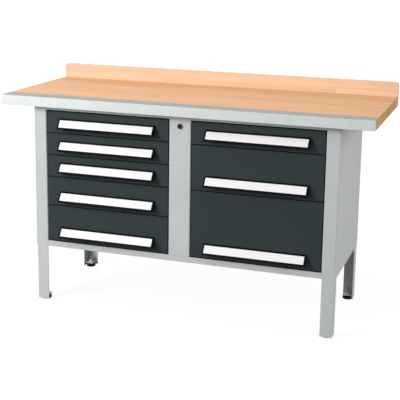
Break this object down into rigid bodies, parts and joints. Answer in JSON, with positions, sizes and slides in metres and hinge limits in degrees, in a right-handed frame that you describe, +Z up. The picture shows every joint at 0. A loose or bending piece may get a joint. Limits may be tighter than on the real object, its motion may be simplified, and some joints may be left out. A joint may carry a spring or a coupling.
{
  "type": "workshop bench with drawers",
  "caption": "Free-standing workshop bench with a beech top, steel front edge and rear upstand on a sheet-steel frame with two blocks of drawers under one central lock.",
  "frame": {"origin": "on the floor under the middle of the worktop", "axes": "+X along the bench to the user's right, +Y to the back, +Z up"},
  "size_m": [1.5, 0.6, 0.92],
  "materials": {
    "beech": "oiled beech, glued from staves",
    "steel_edge": "galvanised sheet",
    "light_grey_paint": "light grey powder coat",
    "galvanised_steel": "galvanised sheet",
    "anthracite_paint": "anthracite powder coat",
    "black_plastic": "matte black moulded and extruded plastic",
    "white_label": "plain white strip",
    "black_foot": "black moulded pad",
    "lock_metal": "nickel-plated"
  },
  "bodies": {
    "frame": {"worktop": "beech", "front_edge_profile": "steel_edge", "rear_upstand": "beech", "leg_front_left": "light_grey_paint", "leg_rear_left": "light_grey_paint", "side_panel_left": "light_grey_paint", "leg_front_right": "light_grey_paint", "leg_rear_right": "light_grey_paint", "side_panel_right": "light_grey_paint", "centre_stile": "light_grey_paint", "top_rail": "light_grey_paint", "bottom_pan": "light_grey_paint", "back_panel": "light_grey_paint", "runner_wall_left_outer": "galvanised_steel", "runner_wall_left_inner": "galvanised_steel", "runner_wall_right_outer": "galvanised_steel", "runner_wall_right_inner": "galvanised_steel", "lock_housing": "lock_metal"},
    "drawer_left_1": {"drawer_left_1_tray": "anthracite_paint", "drawer_left_1_front": "anthracite_paint", "drawer_left_1_handle": "black_plastic", "drawer_left_1_label": "white_label"},
    "drawer_left_2": {"drawer_left_2_tray": "anthracite_paint", "drawer_left_2_front": "anthracite_paint", "drawer_left_2_handle": "black_plastic", "drawer_left_2_label": "white_label"},
    "drawer_left_3": {"drawer_left_3_tray": "anthracite_paint", "drawer_left_3_front": "anthracite_paint", "drawer_left_3_handle": "black_plastic", "drawer_left_3_label": "white_label"},
    "drawer_left_4": {"drawer_left_4_tray": "anthracite_paint", "drawer_left_4_front": "anthracite_paint", "drawer_left_4_handle": "black_plastic", "drawer_left_4_label": "white_label"},
    "drawer_left_5": {"drawer_left_5_tray": "anthracite_paint", "drawer_left_5_front": "anthracite_paint", "drawer_left_5_handle": "black_plastic", "drawer_left_5_label": "white_label"},
    "drawer_right_1": {"drawer_right_1_tray": "anthracite_paint", "drawer_right_1_front": "anthracite_paint", "drawer_right_1_handle": "black_plastic", "drawer_right_1_label": "white_label"},
    "drawer_right_2": {"drawer_right_2_tray": "anthracite_paint", "drawer_right_2_front": "anthracite_paint", "drawer_right_2_handle": "black_plastic", "drawer_right_2_label": "white_label"},
    "drawer_right_3": {"drawer_right_3_tray": "anthracite_paint", "drawer_right_3_front": "anthracite_paint", "drawer_right_3_handle": "black_plastic", "drawer_right_3_label": "white_label"},
    "foot_front_left": {"foot_front_left": "black_foot"},
    "foot_rear_left": {"foot_rear_left": "black_foot"},
    "foot_front_right": {"foot_front_right": "black_foot"},
    "foot_rear_right": {"foot_rear_right": "black_foot"},
    "lock_plug": {"lock_plug": "lock_metal", "lock_cam": "lock_metal"},
    "lock_bar": {"lock_bar": "galvanised_steel"}
  },
  "joints": [
    {"name": "drawer_left_1_slide", "type": "slide", "parent": "frame", "child": "drawer_left_1", "axis": [0, -1, 0], "range_m": [0, 0.35]},
    {"name": "drawer_left_2_slide", "type": "slide", "parent": "frame", "child": "drawer_left_2", "axis": [0, -1, 0], "range_m": [0, 0.35]},
    {"name": "drawer_left_3_slide", "type": "slide", "parent": "frame", "child": "drawer_left_3", "axis": [0, -1, 0], "range_m": [0, 0.35]},
    {"name": "drawer_left_4_slide", "type": "slide", "parent": "frame", "child": "drawer_left_4", "axis": [0, -1, 0], "range_m": [0, 0.35]},
    {"name": "drawer_left_5_slide", "type": "slide", "parent": "frame", "child": "drawer_left_5", "axis": [0, -1, 0], "range_m": [0, 0.35]},
    {"name": "drawer_right_1_slide", "type": "slide", "parent": "frame", "child": "drawer_right_1", "axis": [0, -1, 0], "range_m": [0, 0.35]},
    {"name": "drawer_right_2_slide", "type": "slide", "parent": "frame", "child": "drawer_right_2", "axis": [0, -1, 0], "range_m": [0, 0.35]},
    {"name": "drawer_right_3_slide", "type": "slide", "parent": "frame", "child": "drawer_right_3", "axis": [0, -1, 0], "range_m": [0, 0.35]},
    {"name": "foot_front_left_screw", "type": "slide", "parent": "frame", "child": "foot_front_left", "axis": [0, 0, -1], "range_m": [0, 0.015]},
    {"name": "foot_rear_left_screw", "type": "slide", "parent": "frame", "child": "foot_rear_left", "axis": [0, 0, -1], "range_m": [0, 0.015]},
    {"name": "foot_front_right_screw", "type": "slide", "parent": "frame", "child": "foot_front_right", "axis": [0, 0, -1], "range_m": [0, 0.015]},
    {"name": "foot_rear_right_screw", "type": "slide", "parent": "frame", "child": "foot_rear_right", "axis": [0, 0, -1], "range_m": [0, 0.015]},
    {"name": "lock_turn", "type": "hinge", "parent": "frame", "child": "lock_plug", "pos_m": [0, -0.25, 0.778], "axis": [0, -1, 0], "range_deg": [0, 90]},
    {"name": "lock_bar_lift", "type": "slide", "parent": "frame", "child": "lock_bar", "axis": [0, 0, 1], "range_m": [0, 0.0099]}
  ],
  "couplings": [
    {"joint": "lock_turn", "follows": "lock_bar_lift", "rad_per_m": 158.67}
  ]
}
